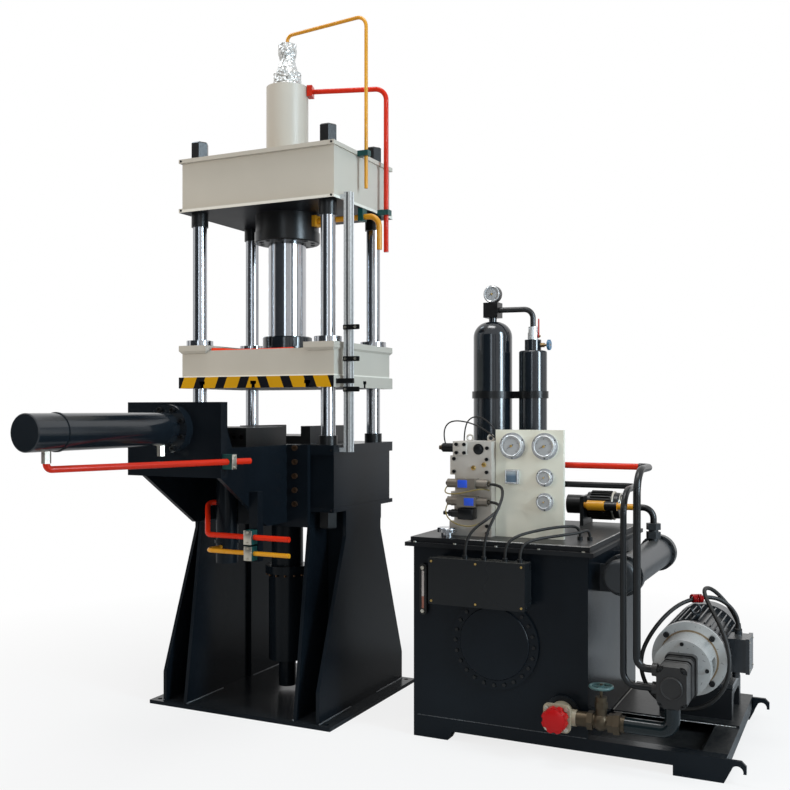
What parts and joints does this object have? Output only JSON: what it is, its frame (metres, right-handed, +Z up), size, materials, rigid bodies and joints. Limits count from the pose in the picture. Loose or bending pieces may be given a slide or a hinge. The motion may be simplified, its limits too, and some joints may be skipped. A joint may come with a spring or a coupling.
{
  "type": "vertical die casting press with hydraulic power unit",
  "caption": "Column die casting press with a moving platen, side slide cylinder, injection cylinder below and a separate skid power unit with tank, pump, valves and gas bottles.",
  "frame": {"origin": "on the floor under the middle of the four press columns", "axes": "+X right along the press front towards the power unit, +Y to the back, +Z up"},
  "size_m": [3.11, 2.641, 3.775],
  "materials": {
    "dark_paint": "gloss",
    "beige_paint": "satin",
    "chrome": "polished",
    "black_steel": "satin",
    "machined_steel": "machined",
    "red_paint": "gloss",
    "yellow_paint": "gloss",
    "aluminium": "satin",
    "film": "crinkled film",
    "cream_paint": "satin",
    "gauge_case": "polished rims",
    "brass": "satin",
    "plated_block": "zinc plated",
    "ivory_paint": "satin",
    "red_plastic": "gloss",
    "teal_paint": "gloss",
    "blue_plastic": "gloss",
    "cable_rubber": "matt",
    "grey_paint": "satin",
    "clear_plastic": "clear front"
  },
  "bodies": {
    "machine": {"base_plate": "dark_paint", "press_legs": "dark_paint", "lower_table": "dark_paint", "guide_columns": "chrome", "column_fixings": "black_steel", "top_beam": "beige_paint", "main_cylinder": "beige_paint", "cylinder_gland": "black_steel", "prefill_valve": "film", "switch_rail": "aluminium", "switch_brackets": "black_steel", "side_bracket": "dark_paint", "slide_block": "machined_steel", "die_clamps": "machined_steel", "side_cylinder": "dark_paint", "side_fittings": "brass", "ejector_cylinder": "dark_paint", "injection_cylinder": "dark_paint", "skid_rails": "dark_paint", "skid_cross_members": "dark_paint", "motor_stand": "dark_paint", "oil_tank": "dark_paint", "tank_lid": "dark_paint", "manhole_cover": "dark_paint", "junction_box": "dark_paint", "level_gauge": "clear_plastic", "suction_filter": "ivory_paint", "filter_knob": "red_plastic", "gate_valve": "brass", "suction_pipe": "black_steel", "drive_motor": "black_steel", "bell_housing": "aluminium", "gear_pump": "grey_paint", "pressure_risers": "black_steel", "valve_manifold": "plated_block", "control_valves": "black_steel", "breather_cap": "chrome", "gauge_panel": "cream_paint", "pressure_gauges": "gauge_case", "accumulator": "dark_paint", "nitrogen_bottle": "dark_paint", "nitrogen_head": "machined_steel", "bottle_valves": "brass", "bottle_strap": "black_steel", "oil_cooler": "grey_paint", "circulation_pump": "black_steel", "red_pipes": "red_paint", "yellow_pipes": "yellow_paint", "pipe_clamps": "black_steel", "control_cables": "cable_rubber", "motor_cable": "cable_rubber"},
    "platen": {"moving_platen": "beige_paint", "guide_bushes": "chrome", "main_ram": "chrome", "ram_flange": "black_steel", "switch_trigger": "black_steel"},
    "gate_wheel": {"gate_handwheel": "teal_paint"},
    "bottle_lever": {"ball_valve_lever": "red_plastic"},
    "needle_wheel": {"needle_handwheel": "blue_plastic"}
  },
  "joints": [
    {"name": "platen_slide", "type": "slide", "parent": "machine", "child": "platen", "axis": [0, 0, 1], "range_m": [-0.2, 0.5]},
    {"name": "gate_handwheel_turn", "type": "hinge", "parent": "machine", "child": "gate_wheel", "pos_m": [1.926, -0.432, 0.372], "axis": [0, 0, 1], "range_deg": [-2160, 0]},
    {"name": "ball_valve_lever_turn", "type": "hinge", "parent": "machine", "child": "bottle_lever", "pos_m": [1.3425, 0.49, 2.032], "axis": [1, 0, 0], "range_deg": [0, 90]},
    {"name": "needle_handwheel_turn", "type": "hinge", "parent": "machine", "child": "needle_wheel", "pos_m": [1.4025, 0.49, 1.9815], "axis": [1, 0, 0], "range_deg": [0, 1080]}
  ]
}
